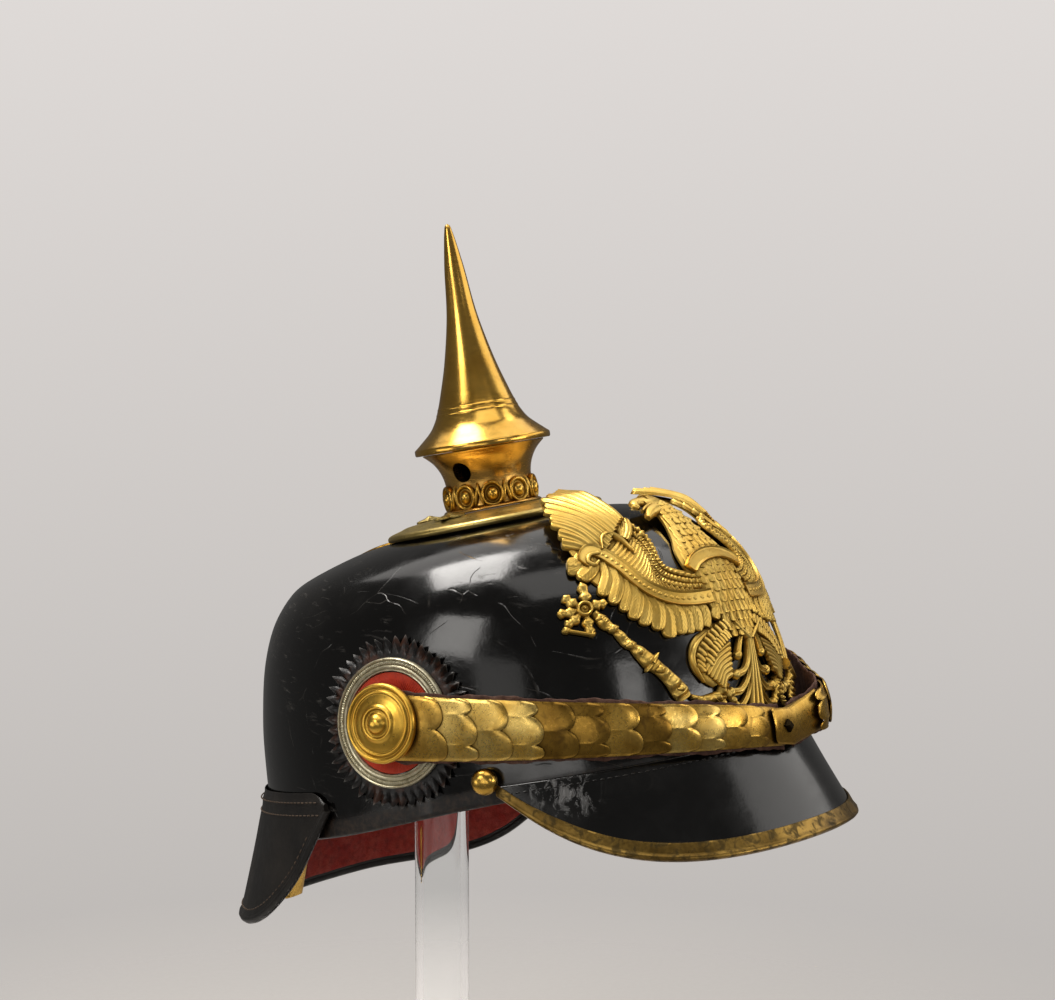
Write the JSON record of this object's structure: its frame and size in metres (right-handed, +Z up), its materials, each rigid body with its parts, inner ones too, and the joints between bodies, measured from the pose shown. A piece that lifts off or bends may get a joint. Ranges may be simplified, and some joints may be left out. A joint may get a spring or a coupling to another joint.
{
  "type": "pickelhaube spiked helmet on display stand",
  "caption": "Black leather spiked parade helmet with brass spike, eagle plate, cockades and scaled chin strap, held on a clear post and square base.",
  "frame": {"origin": "centre of the stand base's underside, below the post", "axes": "+Z up, the helmet's front (peak and eagle plate) faces -Y, the wearer's right is -X"},
  "size_m": [0.2206, 0.2627, 0.3712],
  "materials": {
    "black_leather": "glossy black lacquer",
    "red_leather": "matt dyed leather",
    "strap_leather": "worn matt leather",
    "brass": "polished, darkened in the recesses",
    "silver_plate": "milled and silvered",
    "black_paint": "worn black paint",
    "red_paint": "satin red paint",
    "clear_plastic": "clear, polished"
  },
  "bodies": {
    "helmet": {"base_plate": "brass", "chin_strap_left": "strap_leather", "chin_strap_right": "strap_leather", "cockade_disc_left": "red_paint", "cockade_disc_right": "red_paint", "cockade_ring_left": "silver_plate", "cockade_ring_right": "silver_plate", "cockade_toothed_left": "black_paint", "cockade_toothed_right": "black_paint", "eagle_plate": "brass", "end_plate_left": "brass", "end_plate_right": "brass", "front_peak": "black_leather", "guard_lining": "red_leather", "neck": "brass", "neck_guard": "black_leather", "peak_button_left": "brass", "peak_button_right": "brass", "peak_trim": "brass", "plate_stud_back": "brass", "plate_stud_front": "brass", "plate_stud_left": "brass", "plate_stud_right": "brass", "rear_spine": "brass", "scale_10_left": "brass", "scale_10_right": "brass", "scale_11_left": "brass", "scale_11_right": "brass", "scale_12_left": "brass", "scale_12_right": "brass", "scale_1_left": "brass", "scale_1_right": "brass", "scale_2_left": "brass", "scale_2_right": "brass", "scale_3_left": "brass", "scale_3_right": "brass", "scale_4_left": "brass", "scale_4_right": "brass", "scale_5_left": "brass", "scale_5_right": "brass", "scale_6_left": "brass", "scale_6_right": "brass", "scale_7_left": "brass", "scale_7_right": "brass", "scale_8_left": "brass", "scale_8_right": "brass", "scale_9_left": "brass", "scale_9_right": "brass", "skull": "black_leather", "stand_base": "clear_plastic", "stand_post": "clear_plastic", "strap_boss_left": "brass", "strap_boss_right": "brass"},
    "spike": {"spike": "brass"}
  },
  "joints": [
    {"name": "spike_unscrew", "type": "hinge", "parent": "helmet", "child": "spike", "pos_m": [0, -0.02042, 0.28243], "axis": [0, 0.1891, 0.982], "continuous": true}
  ]
}
